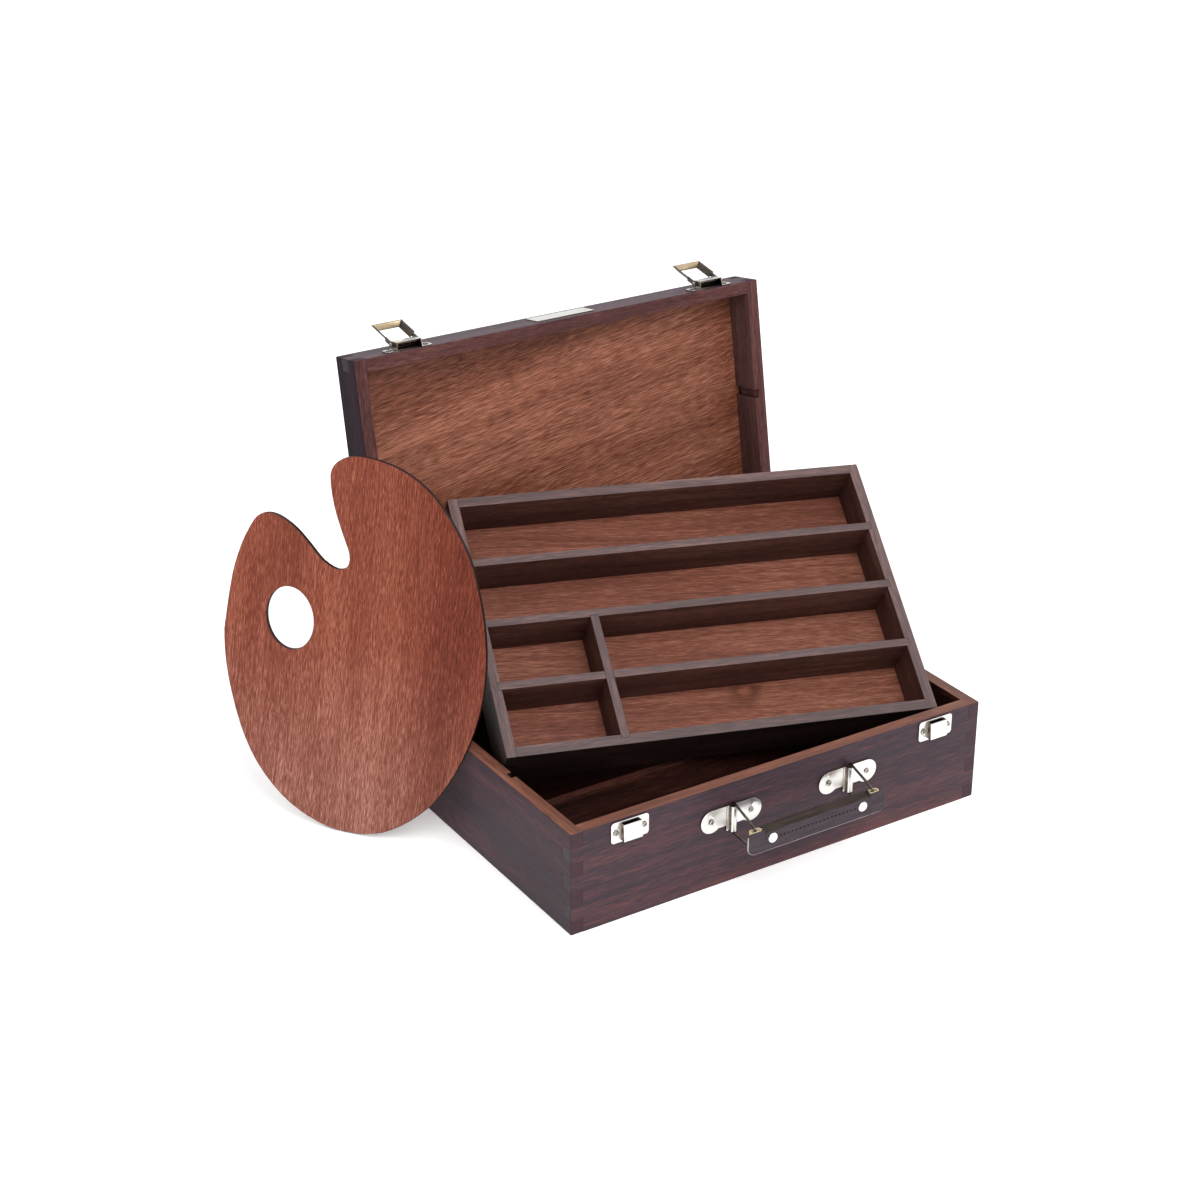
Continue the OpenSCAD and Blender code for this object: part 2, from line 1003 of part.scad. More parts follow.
module tray_bottom() {
    color(ply)
        on_tray()
            ledge_space(tray_w, tray_d, tray_wall, -tray_h, -tray_h + tray_floor);
}

// Long divider across the tray at its own middle line
module tray_long() {
    translate([0, 0, -tray_in_h / 2])
        cube([tray_w - 2 * tray_wall + 2 * (tray_slot - tray_slack), tray_divider_t, tray_in_h],
            center = true);
}

module tray_divider_front() {
    color(wood)
        on_tray()
            translate([0, -tray_row, 0])
                difference() {
                    tray_long();
                    translate([cross_x, 0, 0])
                        cube([tray_divider_t + 2 * tray_slack, 2 * tray_divider_t, tray_in_h],
                            center = true);
                }
}

module tray_divider_middle() {
    color(wood)
        on_tray()
            difference() {
                tray_long();
                translate([cross_x, -tray_divider_t / 2, -tray_in_h / 2])
                    cube([tray_divider_t + 2 * tray_slack, tray_slot, tray_in_h + 2 * past],
                        center = true);
            }
}

module tray_divider_back() {
    color(wood)
        on_tray()
            translate([0, tray_row, 0])
                tray_long();
}

// Short divider from the front wall to the middle divider, lapped over the front one
module tray_cross_divider() {
    y0 = -tray_d / 2 + tray_wall - tray_slot + tray_slack;
    y1 = -tray_divider_t / 2 + tray_slot / 2 - tray_slack;
    color(wood)
        on_tray()
            difference() {
                translate([cross_x - tray_divider_t / 2, y0, -tray_in_h])
                    cube([tray_divider_t, y1 - y0, tray_in_h]);
                translate([cross_x, -tray_row, -tray_in_h])
                    cube([2 * tray_divider_t, tray_divider_t + 2 * tray_slack, tray_in_h],
                        center = true);
            }
}

module palette() {
    color(ply)
        translate(palette_at + [0, 0, palette_t * sin(palette_lean)])
            rotate([90 - palette_lean, 0, palette_turn])
                translate([0, 0, -palette_t])
                    linear_extrude(palette_t)
                        difference() {
                            polygon(smooth_loop(palette_outline, outline_steps));
                            translate(thumb_at)
                                rotate(thumb_turn)
                                    polygon(ellipse_loop(thumb_r, 48));
                        }
}

base_front();
base_back();
base_left();
base_right();
base_bottom();
base_divider();
catch_left();
catch_right();
catch_screws();
handle_plate_left();
handle_plate_right();
handle_plate_screws();
handle_ring_left();
handle_ring_right();
handle_core();
handle_grip();
handle_rivets();
hinge_leaves_base();
hinge_pins();
hinge_screws_base();
lid_front();
lid_back();
lid_left();
lid_right();
lid_panel();
name_plate();
name_plate_pins();
latch_left();
latch_right();
latch_screws();
latch_pins();
bail_left();
bail_right();
hinge_leaves_lid();
hinge_screws_lid();
tray_front();
tray_back();
tray_left();
tray_right();
tray_bottom();
tray_divider_front();
tray_divider_middle();
tray_divider_back();
tray_cross_divider();
palette();
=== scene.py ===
import bmesh
import bpy
import math
import numpy as np
from mathutils import Euler, Matrix, Vector
from mathutils.bvhtree import BVHTree


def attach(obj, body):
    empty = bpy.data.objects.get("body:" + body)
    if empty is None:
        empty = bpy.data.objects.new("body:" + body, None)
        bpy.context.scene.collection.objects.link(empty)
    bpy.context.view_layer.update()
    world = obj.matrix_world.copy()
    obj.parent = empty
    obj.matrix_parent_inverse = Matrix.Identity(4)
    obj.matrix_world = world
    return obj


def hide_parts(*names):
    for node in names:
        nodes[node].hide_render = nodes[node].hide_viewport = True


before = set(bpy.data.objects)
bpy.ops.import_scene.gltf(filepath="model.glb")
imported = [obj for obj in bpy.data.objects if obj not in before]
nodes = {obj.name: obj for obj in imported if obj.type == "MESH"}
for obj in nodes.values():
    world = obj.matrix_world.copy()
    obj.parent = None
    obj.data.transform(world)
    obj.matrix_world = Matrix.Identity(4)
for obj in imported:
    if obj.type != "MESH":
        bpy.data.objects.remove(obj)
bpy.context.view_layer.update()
mm = 0.001
print("frame loaded")

# --- where the four wooden groups stand, as in the CAD source, in metres and degrees
places = {
    "base": {"at": (0, 0, 0), "turn": (0, 0, 0)},
    "lid": {"hinge": (0, 0.1417, 0.09), "turn": (-100, 0, 0)},
    "tray": {"at": (0.0185, 0.0221, 0.1624), "turn": (34.1, 1.8, -15.6)},
    "palette": {"at": (-0.2683, 0.0794, 0.001012), "turn": (81.2, 0, -54)},
}


def turned(degrees):
    # an Euler turn from three angles in degrees
    return Euler([math.radians(a) for a in degrees])


def placeMatrix(name):
    # local to world: turned about its own origin and moved, the lid turned about its hinge
    place = places[name]
    turn = turned(place["turn"]).to_matrix().to_4x4()
    if "hinge" in place:
        hinge = Matrix.Translation(place["hinge"])
        return hinge @ turn @ hinge.inverted()
    return Matrix.Translation(place["at"]) @ turn


def moved(points, matrix):
    # every point times the matrix, as one array
    m = np.array(matrix)
    return points @ m[:3, :3].T + m[:3, 3]


def linked(name, data):
    # a new object in the scene
    made = bpy.data.objects.new(name, data)
    bpy.context.scene.collection.objects.link(made)
    return made


# --- camera at the photo's viewpoint
view = {
    "at": (-1.004163, -1.448452, 1.019713), "turn": (64.47, 0, -32.38),
    "lens": 71.42, "sensor": 36, "farthest": 50,
}
cameraData = bpy.data.cameras.new("camera")
cameraData.lens = view["lens"]
cameraData.sensor_width = view["sensor"]
cameraData.clip_end = view["farthest"]
camera = linked("camera", cameraData)
camera.location = view["at"]
camera.rotation_euler = turned(view["turn"])
bpy.context.scene.camera = camera
bpy.context.scene.view_settings.view_transform = "Standard"

# --- soft studio light and a pale floor; each light has its place, size, power and colour
studio = {
    "world": (1.0, 1.0, 1.0), "worldStrength": 1.0, "aim": (0, 0, 0.15),
    "floor": (0.97, 0.97, 0.97), "floorRough": 0.9, "floorGlow": 0.2, "floorHalf": 4.0,
    "lights": [
        ("keySoftbox", (-0.35, -1.5, 2.1), 1.6, 36, (1.0, 0.985, 0.965)),
        ("rightSoftbox", (2.0, -0.6, 1.2), 1.4, 10, (0.97, 0.985, 1.0)),
    ],
}


def buildStudio():
    world = bpy.data.worlds.new("studio")
    world.use_nodes = True
    background = world.node_tree.nodes["Background"]
    background.inputs["Color"].default_value = (*studio["world"], 1)
    background.inputs["Strength"].default_value = studio["worldStrength"]
    bpy.context.scene.world = world
    for name, at, size, power, color in studio["lights"]:
        data = bpy.data.lights.new(name, "AREA")
        data.shape = "DISK"
        data.size = size
        data.energy = power
        data.color = color
        light = linked(name, data)
        light.location = at
        aim = Vector(studio["aim"]) - Vector(at)
        light.rotation_euler = aim.to_track_quat("-Z", "Y").to_euler()
    half = studio["floorHalf"]
    mesh = bpy.data.meshes.new("floor")
    corners = [(-half, -half, 0), (half, -half, 0), (half, half, 0), (-half, half, 0)]
    mesh.from_pydata(corners, [], [(0, 1, 2, 3)])
    paint = bpy.data.materials.new("floorPaper")
    paint.use_nodes = True
    shader = paint.node_tree.nodes["Principled BSDF"]
    shader.inputs["Base Color"].default_value = (*studio["floor"], 1)
    shader.inputs["Roughness"].default_value = studio["floorRough"]
    shader.inputs["Emission Color"].default_value = (1, 1, 1, 1)
    shader.inputs["Emission Strength"].default_value = studio["floorGlow"]
    mesh.materials.append(paint)
    linked("floor", mesh)


buildStudio()
print("camera and studio ready")


# --- small helpers for material graphs
class Graph:
    # a material's nodes, added left to right
    def __init__(self, name):
        self.material = bpy.data.materials.new(name)
        self.material.use_nodes = True
        self.tree = self.material.node_tree
        self.shader = self.tree.nodes["Principled BSDF"]
        self.coords = self.tree.nodes.new("ShaderNodeTexCoord")

    def add(self, kind, values=(), **settings):
        made = self.tree.nodes.new("ShaderNode" + kind)
        for key, value in settings.items():
            setattr(made, key, value)
        for key, value in dict(values).items():
            self.put(made, key, value)
        return made

    def put(self, made, key, value):
        if isinstance(value, bpy.types.NodeSocket):
            self.tree.links.new(value, made.inputs[key])
        else:
            made.inputs[key].default_value = value

    def mapped(self, vector, scale=(1, 1, 1), turn=(0, 0, 0), move=(0, 0, 0)):
        return self.add("Mapping", {"Vector": vector, "Scale": scale, "Rotation": turn,
                                    "Location": move}).outputs["Vector"]

    def noise(self, vector, scale=1.0, detail=3.0, rough=0.6, warp=0.0):
        return self.add("TexNoise", {"Vector": vector, "Scale": scale, "Detail": detail,
                                     "Roughness": rough, "Distortion": warp}).outputs["Fac"]

    def math(self, operation, a, b=0.0, clamp=False):
        return self.add("Math", {0: a, 1: b}, operation=operation, use_clamp=clamp).outputs[0]

    def span(self, value, low, high, to=(0.0, 1.0)):
        return self.add("MapRange", {"Value": value, "From Min": low, "From Max": high,
                                     "To Min": to[0], "To Max": to[1]}).outputs["Result"]

    def ramp(self, value, stops):
        made = self.add("ValToRGB", {"Fac": value})
        band = made.color_ramp
        while len(band.elements) < len(stops):
            band.elements.new(0.5)
        for element, (position, color) in zip(band.elements, stops):
            element.position = position
            element.color = (*color, 1)
        return made.outputs["Color"]

    def blend(self, share, a, b, kind="MIX"):
        made = self.add("Mix", data_type="RGBA", blend_type=kind)
        for index, value in ((0, share), (6, a), (7, b)):
            if isinstance(value, tuple):
                value = (*value, 1)
            self.put(made, index, value)
        return made.outputs[2]

    def dot(self, a, b):
        return self.add("VectorMath", {0: a, 1: b}, operation="DOT_PRODUCT").outputs["Value"]

    def bump(self, height, strength, distance):
        made = self.add("Bump", {"Height": height, "Strength": strength, "Distance": distance})
        self.tree.links.new(made.outputs["Normal"], self.shader.inputs["Normal"])

    def surface(self, **values):
        for key, value in values.items():
            self.put(self.shader, key.replace("_", " "), value)
        return self.material


# --- stained woods: one graph, with a look for each kind of face on the photo's boards.
# The noise scales are along, across and through the board
woodLooks = {
    "boxOutside": {
        "dark": (0.0100, 0.0068, 0.0115), "mid": (0.0370, 0.0185, 0.0275),
        "light": (0.120, 0.040, 0.038), "end": (0.026, 0.015, 0.022), "fleck": 0.5,
        "grain": (1.2, 24, 24), "streak": (4.5, 150, 150), "fibre": (70, 1600, 1600),
        "contrast": 0.40, "rough": (0.42, 0.58), "bump": 0.3, "shine": 0.26,
    },
    "boxInside": {
        "dark": (0.0090, 0.0030, 0.0028), "mid": (0.0300, 0.0095, 0.0070),
        "light": (0.080, 0.024, 0.017), "end": (0.012, 0.005, 0.004), "fleck": 0.6,
        "grain": (2.2, 42, 42), "streak": (9, 230, 230), "fibre": (60, 1100, 1100),
        "contrast": 0.40, "rough": (0.45, 0.6), "bump": 0.25, "shine": 0.2,
    },
    "boxRim": {
        "dark": (0.060, 0.021, 0.013), "mid": (0.140, 0.050, 0.031),
        "light": (0.260, 0.110, 0.070), "end": (0.05, 0.022, 0.017), "fleck": 0.45,
        "grain": (3, 60, 60), "streak": (12, 260, 260), "fibre": (60, 1100, 1100),
        "contrast": 0.45, "rough": (0.42, 0.58), "bump": 0.2, "shine": 0.35,
    },
    "lidRim": {
        "dark": (0.028, 0.010, 0.010), "mid": (0.066, 0.025, 0.024),
        "light": (0.140, 0.056, 0.050), "end": (0.045, 0.018, 0.017), "fleck": 0.7,
        "grain": (3, 60, 60), "streak": (12, 260, 260), "fibre": (110, 1500, 1500),
        "contrast": 0.48, "rough": (0.45, 0.6), "bump": 0.2, "shine": 0.1,
    },
    "panel": {
        "dark": (0.060, 0.014, 0.007), "mid": (0.160, 0.050, 0.027),
        "light": (0.330, 0.132, 0.082), "end": (0.05, 0.018, 0.011), "fleck": 1.15,
        "grain": (2.2, 22, 22), "streak": (10, 520, 520), "fibre": (75, 1700, 1700),
        "contrast": 0.48, "rough": (0.42, 0.58), "bump": 0.25, "shine": 0.16,
    },
    "trayFloor": {
        "dark": (0.074, 0.022, 0.013), "mid": (0.172, 0.056, 0.035),
        "light": (0.330, 0.140, 0.092), "end": (0.05, 0.018, 0.011), "fleck": 0.75,
        "grain": (2.4, 22, 22), "streak": (8, 300, 300), "fibre": (80, 1500, 1500),
        "contrast": 0.50, "rough": (0.42, 0.58), "bump": 0.2, "shine": 0.18,
    },
    "trayOutside": {
        "dark": (0.0050, 0.0028, 0.0030), "mid": (0.014, 0.0068, 0.0068),
        "light": (0.045, 0.020, 0.018), "end": (0.014, 0.009, 0.010), "fleck": 0.5,
        "grain": (3, 50, 50), "streak": (12, 260, 260), "fibre": (70, 1100, 1100),
        "contrast": 0.5, "rough": (0.40, 0.56), "bump": 0.22, "shine": 0.3,
    },
    "trayInside": {
        "dark": (0.0190, 0.0060, 0.0045), "mid": (0.057, 0.0210, 0.0160),
        "light": (0.130, 0.055, 0.042), "end": (0.02, 0.01, 0.009), "fleck": 0.6,
        "grain": (3, 50, 50), "streak": (12, 260, 260), "fibre": (90, 1300, 1300),
        "contrast": 0.46, "rough": (0.45, 0.6), "bump": 0.22, "shine": 0.2,
    },
    "trayRim": {
        "dark": (0.045, 0.027, 0.028), "mid": (0.086, 0.052, 0.052),
        "light": (0.190, 0.105, 0.092), "end": (0.06, 0.042, 0.043), "fleck": 0.6,
        "grain": (3, 50, 50), "streak": (14, 260, 260), "fibre": (70, 1100, 1100),
        "contrast": 0.5, "rough": (0.42, 0.56), "bump": 0.25, "shine": 0.4,
    },
    # a darker copy of the outside look for the base's side boards: painted shade
    "baseSidePaintedShade": {
        "dark": (0.0085, 0.0060, 0.0108), "mid": (0.0290, 0.0150, 0.0240),
        "light": (0.090, 0.032, 0.036), "end": (0.040, 0.018, 0.025), "fleck": 0.5,
        "grain": (1.2, 24, 24), "streak": (4.5, 150, 150), "fibre": (70, 1600, 1600),
        "contrast": 0.40, "rough": (0.45, 0.6), "bump": 0.3, "shine": 0.2,
    },
    "lidOutside": {
        "dark": (0.0200, 0.0130, 0.0190), "mid": (0.0620, 0.0400, 0.0540),
        "light": (0.140, 0.074, 0.080), "end": (0.0135, 0.0098, 0.0145), "fleck": 0.85,
        "grain": (1.8, 30, 30), "streak": (7, 200, 200), "fibre": (110, 1600, 1600),
        "contrast": 0.50, "rough": (0.42, 0.58), "bump": 0.3, "shine": 0.12,
    },
    "lidInside": {
        "dark": (0.042, 0.019, 0.017), "mid": (0.096, 0.046, 0.042),
        "light": (0.180, 0.088, 0.078), "end": (0.045, 0.018, 0.017), "fleck": 0.7,
        "grain": (3, 60, 60), "streak": (12, 260, 260), "fibre": (110, 1500, 1500),
        "contrast": 0.48, "rough": (0.45, 0.6), "bump": 0.2, "shine": 0.12,
    },
    # an almost black look for the lid's side boards: painted shade
    "lidSidePaintedShade": {
        "dark": (0.0060, 0.0036, 0.0065), "mid": (0.0155, 0.0086, 0.0150),
        "light": (0.042, 0.020, 0.030), "end": (0.046, 0.028, 0.040), "fleck": 0.6,
        "grain": (1.4, 26, 26), "streak": (5, 170, 170), "fibre": (60, 1500, 1500),
        "contrast": 0.42, "rough": (0.5, 0.65), "bump": 0.2, "shine": 0.04,
    },
    "palette": {
        "dark": (0.092, 0.017, 0.007), "mid": (0.188, 0.042, 0.023),
        "light": (0.380, 0.128, 0.078), "end": (0.016, 0.007, 0.005), "fleck": 1.15,
        "grain": (1.6, 17, 17), "streak": (9, 620, 620), "fibre": (130, 2300, 2300),
        "contrast": 0.5, "rough": (0.40, 0.54), "bump": 0.2, "shine": 0.14,
    },
}

# what all the woods share: how a board's shift moves its pattern, the slow sway of its grain,
# the shares of grain and streaks, and the spans in which the cut ends and outer faces come in
woodRules = {
    "shift": (1, 0.37, 0.71),
    "sway": (5, 12, 12), "swayDetail": 2.0, "swayReach": 0.012,
    "grainDetail": 4.0, "grainRough": 0.62, "grainWarp": 0.4, "grainShare": 0.52,
    "streakDetail": 4.0, "streakRough": 0.7, "streakShare": 0.48,
    "fibreDetail": 2.0, "fibreRough": 0.6,
    "boardEnd": (0.6, 0.85), "sheetRim": (0.8, 0.95), "outerFace": (0.4, 0.6),
    "streakBump": 0.6, "bumpDepth": 0.0004, "roughOver": (0.3, 0.7),
}
layings = {"y": (0, 0, -90), "z": (0, 90, 0)}


def wood(name, look, place, along="x", turn=0.0, shift=0.0, facing=None, fades=(), spots=(),
         outer=None):
    # colour = ramp over broad grain + streaks + fibres, all long along the board;
    # the faces across the grain (or, for a sheet, across its plane) take the end colour
    settings, rules = woodLooks[look], woodRules
    g = Graph(name)
    space, facingOut = g.coords.outputs["Object"], g.coords.outputs["Normal"]
    group = placeMatrix(place).to_3x3()
    back = group.inverted()
    if along != "x":
        back = turned(layings[along]).to_matrix() @ back
    back = turned((0, 0, turn)).to_matrix() @ back
    board = g.mapped(space, turn=tuple(back.to_euler()),
                     move=tuple(shift * share for share in rules["shift"]))
    wander = g.noise(g.mapped(board, scale=rules["sway"]), detail=rules["swayDetail"])
    wander = g.math("MULTIPLY", g.math("SUBTRACT", wander, 0.5), rules["swayReach"])
    sway = g.add("CombineXYZ", {"Y": wander, "Z": wander}).outputs["Vector"]
    board = g.add("VectorMath", {0: board, 1: sway}, operation="ADD").outputs["Vector"]
    grain = g.noise(g.mapped(board, scale=settings["grain"]), detail=rules["grainDetail"],
                    rough=rules["grainRough"], warp=rules["grainWarp"])
    streak = g.noise(g.mapped(board, scale=settings["streak"]), detail=rules["streakDetail"],
                     rough=rules["streakRough"])
    fibre = g.noise(g.mapped(board, scale=settings["fibre"]), detail=rules["fibreDetail"],
                    rough=rules["fibreRough"])
    mixed = g.math("ADD", g.math("MULTIPLY", grain, rules["grainShare"]),
                   g.math("MULTIPLY", streak, rules["streakShare"]))
    fine = g.math("MULTIPLY", g.math("SUBTRACT", fibre, 0.5), settings["fleck"])
    half = settings["contrast"] / 2
    color = g.ramp(g.math("ADD", mixed, fine),
                   [(0.5 - half, settings["dark"]), (0.5, settings["mid"]),
                    (0.5 + half, settings["light"])])
    if facing:
        axis = group @ Matrix.Identity(3).col["xyz".index(facing)]
    else:
        axis = back.inverted() @ Matrix.Identity(3).col[0]
    across = g.math("ABSOLUTE", g.dot(facingOut, tuple(axis)))
    if facing:
        cut = g.span(across, *rules["sheetRim"], (1, 0))
    else:
        cut = g.span(across, *rules["boardEnd"])
    color = g.blend(cut, color, settings["end"])
    for direction, start, full, tint in fades:
        # the colour is multiplied by a tint that comes in between two distances
        distance = g.dot(space, direction)
        color = g.blend(g.span(distance, start, full), color, tint, "MULTIPLY")
    for middle, start, full, tint in spots:
        # a knot: the same by the distance from a point
        away = g.add("VectorMath", {0: space, 1: middle}, operation="DISTANCE")
        near = g.span(away.outputs["Value"], start, full)
        color = g.blend(near, color, tint, "MULTIPLY")
    if outer:
        # a sheet whose face that looks along z is stained darker
        up = group @ Vector((0, 0, 1))
        looksUp = g.span(g.dot(facingOut, tuple(up)), *rules["outerFace"])
        color = g.blend(looksUp, color, outer, "MULTIPLY")
    height = g.math("ADD", g.math("MULTIPLY", streak, rules["streakBump"]), fibre)
    g.bump(height, settings["bump"], rules["bumpDepth"])
    return g.surface(Base_Color=color, Specular_IOR_Level=settings["shine"],
                     Roughness=g.span(streak, *rules["roughOver"], settings["rough"]))


# --- soft-edged copies of CAD solids, so that their arrises catch the light
# lengths in metres, angles in radians, and shares of a half box or of a unit normal
edgeRules = {
    "weld": 1e-6, "flat": 0.01, "boardSharp": 0.3, "metalSharp": 0.5, "shortest": 2.5 * mm,
    "onPlane": 2e-4, "outerShare": 0.6, "alongOut": 0.6, "lift": 2e-5, "segments": 2,
}


def weldedCopy(name, node):
    # the CAD node's mesh under a new name, and the same as an edit mesh with merged corners
    mesh = nodes[node].data.copy()
    mesh.name = name
    bm = bmesh.new()
    bm.from_mesh(mesh)
    bmesh.ops.remove_doubles(bm, verts=bm.verts, dist=edgeRules["weld"])
    return mesh, bm


def bevelWeights(bm):
    weights = bm.edges.layers.float.get("bevel_weight_edge")
    if weights is None:
        weights = bm.edges.layers.float.new("bevel_weight_edge")
    return weights


def bevelled(name, mesh, bm, materials, width):
    # the edited copy as a piece, with its weighted edges bevelled
    mesh.materials.clear()
    for material in materials:
        mesh.materials.append(material)
    bm.to_mesh(mesh)
    bm.free()
    piece = linked(name, mesh)
    bevel = piece.modifiers.new("arris", "BEVEL")
    bevel.limit_method = "WEIGHT"
    bevel.width = width
    bevel.segments = edgeRules["segments"]
    return piece, bevel


def softened(name, node, body, materials, size, arris, soft=0.3 * mm):
    # a welded copy of the CAD board; an edge on two outer planes of its box is bevelled by the
    # arris, any other long edge by the soft width. Of three materials, the first is for the
    # outer faces, the second for faces that look up or down and the third for inner faces
    mesh, bm = weldedCopy(name, node)
    bmesh.ops.dissolve_limit(bm, angle_limit=edgeRules["flat"], verts=bm.verts, edges=bm.edges)
    back = placeMatrix(body).inverted()
    low, high = size
    weights = bevelWeights(bm)
    near = edgeRules["onPlane"]
    for edge in bm.edges:
        if (len(edge.link_faces) != 2 or edge.calc_face_angle(0) < edgeRules["boardSharp"]
                or edge.calc_length() < edgeRules["shortest"]):
            continue
        a, b = (back @ v.co for v in edge.verts)
        planes = sum(abs(a[i] - c[i]) < near and abs(b[i] - c[i]) < near
                     for c in (low, high) for i in range(3))
        edge[weights] = 1.0 if planes >= 2 else soft / arris
    if len(materials) == 3:
        turn = back.to_3x3()
        middle = [(a + b) / 2 for a, b in zip(low, high)]
        for face in bm.faces:
            normal = turn @ face.normal
            at = back @ face.calc_center_median()
            side = max(range(3), key=lambda i: abs(normal[i]))
            outer = edgeRules["outerShare"] * (high[side] - middle[side])
            isOuter = (at[side] - middle[side]) * normal[side] > outer
            face.material_index = 1 if side == 2 else 0 if isOuter else 2
    piece, bevel = bevelled(name, mesh, bm, materials, arris)
    bevel.use_clamp_overlap = False
    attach(piece, body)
    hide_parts(node)


# each board: its group, the way its grain runs, and the shift of its pattern
boards = {
    "base_front": ("base", "x", 0.3), "base_back": ("base", "x", 1.1),
    "base_left": ("base", "y", 2.2), "base_right": ("base", "y", 3.4),
    "base_divider": ("base", "x", 4.5),
    "lid_front": ("lid", "x", 5.2), "lid_back": ("lid", "x", 6.1),
    "lid_left": ("lid", "y", 7.3), "lid_right": ("lid", "y", 8.6),
    "tray_front": ("tray", "x", 9.2), "tray_back": ("tray", "x", 10.3),
    "tray_left": ("tray", "y", 11.4), "tray_right": ("tray", "y", 12.1),
    "tray_divider_front": ("tray", "x", 13.7), "tray_divider_middle": ("tray", "x", 14.2),
    "tray_divider_back": ("tray", "x", 15.5), "tray_cross_divider": ("tray", "y", 16.8),
}
groups = {
    "base": {
        "size": ((-0.2, -0.1387, 0.0), (0.2, 0.1387, 0.0899)), "slot": "wood_dark",
        "looks": ("boxOutside", "boxRim", "boxInside"),
    },
    "lid": {
        "size": ((-0.2, -0.1387, 0.0901), (0.2, 0.1387, 0.124)), "slot": "wood_dark",
        "looks": ("lidOutside", "lidRim", "lidInside"),
    },
    "tray": {
        "size": ((-0.185, -0.123, -0.041), (0.185, 0.123, 0.0)), "slot": "wood_tray",
        "looks": ("trayOutside", "trayRim", "trayInside"),
    },
}
ownLooks = {
    "base_divider": ("boxInside", "boxInside", "boxInside"),
    # the base's side boards take the darker copy of the outside look: painted shade
    "base_left": ("baseSidePaintedShade", "boxRim", "boxInside"),
    "base_right": ("baseSidePaintedShade", "boxRim", "boxInside"),
    # the lid's side boards take the almost black look: painted shade
    "lid_left": ("lidSidePaintedShade", "lidRim", "lidInside"),
    "lid_right": ("lidSidePaintedShade", "lidRim", "lidInside"),
}
boardArris = 0.9 * mm

for node, (group, along, shift) in boards.items():
    facts = groups[group]
    finishes = [wood(node + "_" + look, look, group, along, shift=shift)
                for look in ownLooks.get(node, facts["looks"])]
    softened("board_" + node, node, group, finishes, facts["size"], boardArris)
print("boards made")

# each sheet: its group, look, the shift of its pattern and the turn of its grain
sheets = {
    "base_bottom": ("base", "boxInside", 0.4, 0), "lid_panel": ("lid", "panel", 1.7, 9),
    "tray_bottom": ("tray", "trayFloor", 2.9, 3),
}
knot = (0.0442, -0.0218, 0.0926)
extras = {
    "lid_panel": {"outer": (0.34, 0.46, 1.0)},
    "tray_bottom": {"spots": [(knot, 0.018, 0.009, (0.62, 0.57, 0.52)),
                              (knot, 0.008, 0.002, (1.8, 1.9, 2.0))]},
}
for node, (group, look, shift, turn) in sheets.items():
    finish = wood(node + "_ply", look, group, shift=shift, turn=turn, facing="z",
                  **extras.get(node, {}))
    nodes[node].data.materials.clear()
    nodes[node].data.materials.append(finish)

# the palette's rim has no outer planes: its size is a box far around it
palette = {
    "size": ((-9, -9, -9), (9, 9, 9)), "arris": 0.5 * mm, "shift": 4.4, "turn": 4,
    "fades": [
        ((0.8445, -0.5355, 0), -0.262, -0.185, (0.70, 0.56, 0.50)),
        ((0, 0, -1), -0.17, -0.02, (1.22, 1.85, 2.35)),
    ],
}
paletteFinish = wood("palette_ply", "palette", "palette", "y", shift=palette["shift"],
                     turn=palette["turn"], facing="z", fades=palette["fades"])
softened("palette_board", "palette", "palette", [paletteFinish],
         palette["size"], palette["arris"], soft=palette["arris"])
print("sheets and palette made")


# --- metals
metalRules = {
    "cloud": 90.0, "cloudDetail": 3.0, "hair": (300, 2600, 900), "hairDetail": 2.0,
    "bumpDepth": 0.0002, "tintOver": (0.35, 0.7), "roughOver": (0.3, 0.7),
}


def metal(name, color, rough, tint, scratch=0.08, metallic=1.0):
    # clean plated metal: cloudy roughness, a faint tint and hairline scratches in the bump
    g = Graph(name)
    rules = metalRules
    space = g.coords.outputs["Object"]
    cloud = g.noise(space, scale=rules["cloud"], detail=rules["cloudDetail"])
    hair = g.noise(g.mapped(space, scale=rules["hair"]), detail=rules["hairDetail"])
    g.bump(g.math("ADD", hair, cloud), scratch, rules["bumpDepth"])
    tinted = tuple(c * t for c, t in zip(color, tint))
    shade = g.blend(g.span(cloud, *rules["tintOver"]), color, tinted)
    return g.surface(Base_Color=shade, Metallic=metallic,
                     Roughness=g.span(cloud, *rules["roughOver"], rough))


nickel = metal("brightNickel", (0.77, 0.76, 0.745), (0.26, 0.36), (0.93, 0.91, 0.88))
# a dark copy of the nickel for the plates' side faces: painted shadow lines along their edges
nickelEdgeShade = metal("nickelEdgeShade", (0.22, 0.18, 0.15), (0.25, 0.4), (0.6, 0.55, 0.5))
screwHead = metal("screwHead", (0.50, 0.47, 0.42), (0.2, 0.3), (0.6, 0.58, 0.55))
# an almost black copy of the nickel for faces close to other faces, in the latches' hollows and
# on screw sides: painted deep shade
nickelDeepShade = metal("nickelDeepShade", (0.028, 0.022, 0.020), (0.35, 0.55), (0.6, 0.6, 0.6))
# warm bronze for the bail's end bar: a painted reflection on the metal strip
bailBarReflection = metal("bailBarPaintedReflection", (0.60, 0.49, 0.33), (0.24, 0.4), (0.62, 0.56, 0.48), 0.2)
# a dark copy of the bronze for the handle core's faces close to other faces: painted shade
bronzeShade = metal("bronzePaintedShade", (0.26, 0.21, 0.14), (0.26, 0.42), (0.6, 0.55, 0.5), 0.2)
curlBronze = metal("curlBronze", (0.80, 0.68, 0.46), (0.4, 0.55), (0.8, 0.76, 0.7), 0.2, 0.5)
# near black for the bail's legs: painted shade on the metal strip
bailLegShade = metal("bailLegPaintedShade", (0.022, 0.018, 0.014), (0.35, 0.55), (3.2, 2.8, 2.3), 0.6,
                  0.35)
wireSteel = metal("wireSteel", (0.20, 0.17, 0.14), (0.14, 0.26), (0.3, 0.28, 0.26))

lidBack = placeMatrix("lid").inverted()


